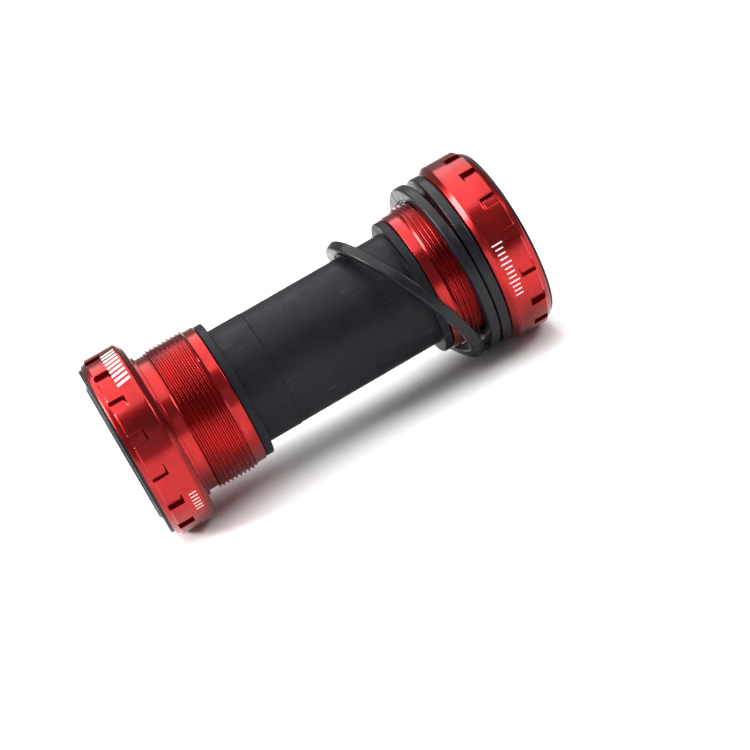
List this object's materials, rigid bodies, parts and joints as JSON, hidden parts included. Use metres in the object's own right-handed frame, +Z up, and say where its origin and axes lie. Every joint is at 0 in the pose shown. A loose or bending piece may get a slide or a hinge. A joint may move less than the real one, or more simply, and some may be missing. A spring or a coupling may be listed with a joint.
{
  "type": "bottom bracket",
  "caption": "External-cup threaded bottom bracket with sealed ball bearings, a plastic centre sleeve, dust caps and shell spacers, for a hollow crank spindle.",
  "frame": {"origin": "on the spindle axis, midway between the outer faces of the two dust caps", "axes": "+Y along the spindle axis towards the non-drive side, +Z up, +X towards the front of the bicycle"},
  "size_m": [0.044, 0.0994, 0.044],
  "materials": {
    "anodised_cup": "red anodised, satin",
    "bearing_steel": "ground",
    "ball_steel": "polished",
    "cage_nylon": "moulded nylon",
    "seal_rubber": "smooth",
    "cap_plastic": "fine satin",
    "sleeve_plastic": "moulded, slightly glossy",
    "spacer_plastic": "smooth, rounded edges"
  },
  "bodies": {
    "drive_cup": {"drive_cup": "anodised_cup", "drive_outer_race": "bearing_steel", "drive_outboard_seal": "seal_rubber", "drive_inboard_seal": "seal_rubber"},
    "drive_spindle_ring": {"drive_inner_race": "bearing_steel", "drive_dust_cap": "cap_plastic", "drive_cap_wiper": "seal_rubber"},
    "drive_ball_row": {"drive_bearing_balls": "ball_steel", "drive_ball_cage": "cage_nylon"},
    "sleeve": {"main_sleeve": "sleeve_plastic", "sleeve_end": "sleeve_plastic", "drive_sleeve_o_ring": "seal_rubber"},
    "non_drive_seal": {"non_drive_sleeve_o_ring": "seal_rubber"},
    "non_drive_cup": {"non_drive_cup": "anodised_cup", "non_drive_outer_race": "bearing_steel", "non_drive_outboard_seal": "seal_rubber", "non_drive_inboard_seal": "seal_rubber"},
    "non_drive_spindle_ring": {"non_drive_inner_race": "bearing_steel", "non_drive_dust_cap": "cap_plastic", "non_drive_cap_wiper": "seal_rubber"},
    "non_drive_ball_row": {"non_drive_bearing_balls": "ball_steel", "non_drive_ball_cage": "cage_nylon"},
    "outer_spacer": {"outer_spacer": "spacer_plastic"},
    "inner_spacer": {"inner_spacer": "spacer_plastic"},
    "loose_spacer": {"loose_spacer": "spacer_plastic"}
  },
  "joints": [
    {"name": "sleeve_twist", "type": "hinge", "parent": "drive_cup", "child": "sleeve", "pos_m": [0, -0.03, 0], "axis": [0, 1, 0], "continuous": true},
    {"name": "non_drive_cup_twist", "type": "hinge", "parent": "sleeve", "child": "non_drive_seal", "pos_m": [0, 0.0266, 0], "axis": [0, 1, 0], "continuous": true},
    {"name": "non_drive_cup_pull", "type": "slide", "parent": "non_drive_seal", "child": "non_drive_cup", "axis": [0, 1, 0], "range_m": [0, 0.016]},
    {"name": "drive_bearing_spin", "type": "hinge", "parent": "drive_cup", "child": "drive_spindle_ring", "pos_m": [0, -0.0434, 0], "axis": [0, 1, 0], "continuous": true},
    {"name": "drive_ball_row_spin", "type": "hinge", "parent": "drive_cup", "child": "drive_ball_row", "pos_m": [0, -0.0434, 0], "axis": [0, 1, 0], "continuous": true},
    {"name": "non_drive_bearing_spin", "type": "hinge", "parent": "non_drive_cup", "child": "non_drive_spindle_ring", "pos_m": [0, 0.0434, 0], "axis": [0, 1, 0], "continuous": true},
    {"name": "non_drive_ball_row_spin", "type": "hinge", "parent": "non_drive_cup", "child": "non_drive_ball_row", "pos_m": [0, 0.0434, 0], "axis": [0, 1, 0], "continuous": true},
    {"name": "outer_spacer_slide", "type": "slide", "parent": "drive_cup", "child": "outer_spacer", "axis": [0, 1, 0], "range_m": [0, 0.008]},
    {"name": "inner_spacer_slide", "type": "slide", "parent": "outer_spacer", "child": "inner_spacer", "axis": [0, 1, 0], "range_m": [0, 0.01]},
    {"name": "loose_spacer_slide", "type": "slide", "parent": "inner_spacer", "child": "loose_spacer", "axis": [0, 1, 0], "range_m": [0, 0.014]}
  ],
  "couplings": [
    {"joint": "drive_ball_row_spin", "follows": "drive_bearing_spin", "ratio": 0.4488},
    {"joint": "non_drive_ball_row_spin", "follows": "non_drive_bearing_spin", "ratio": 0.4488}
  ]
}
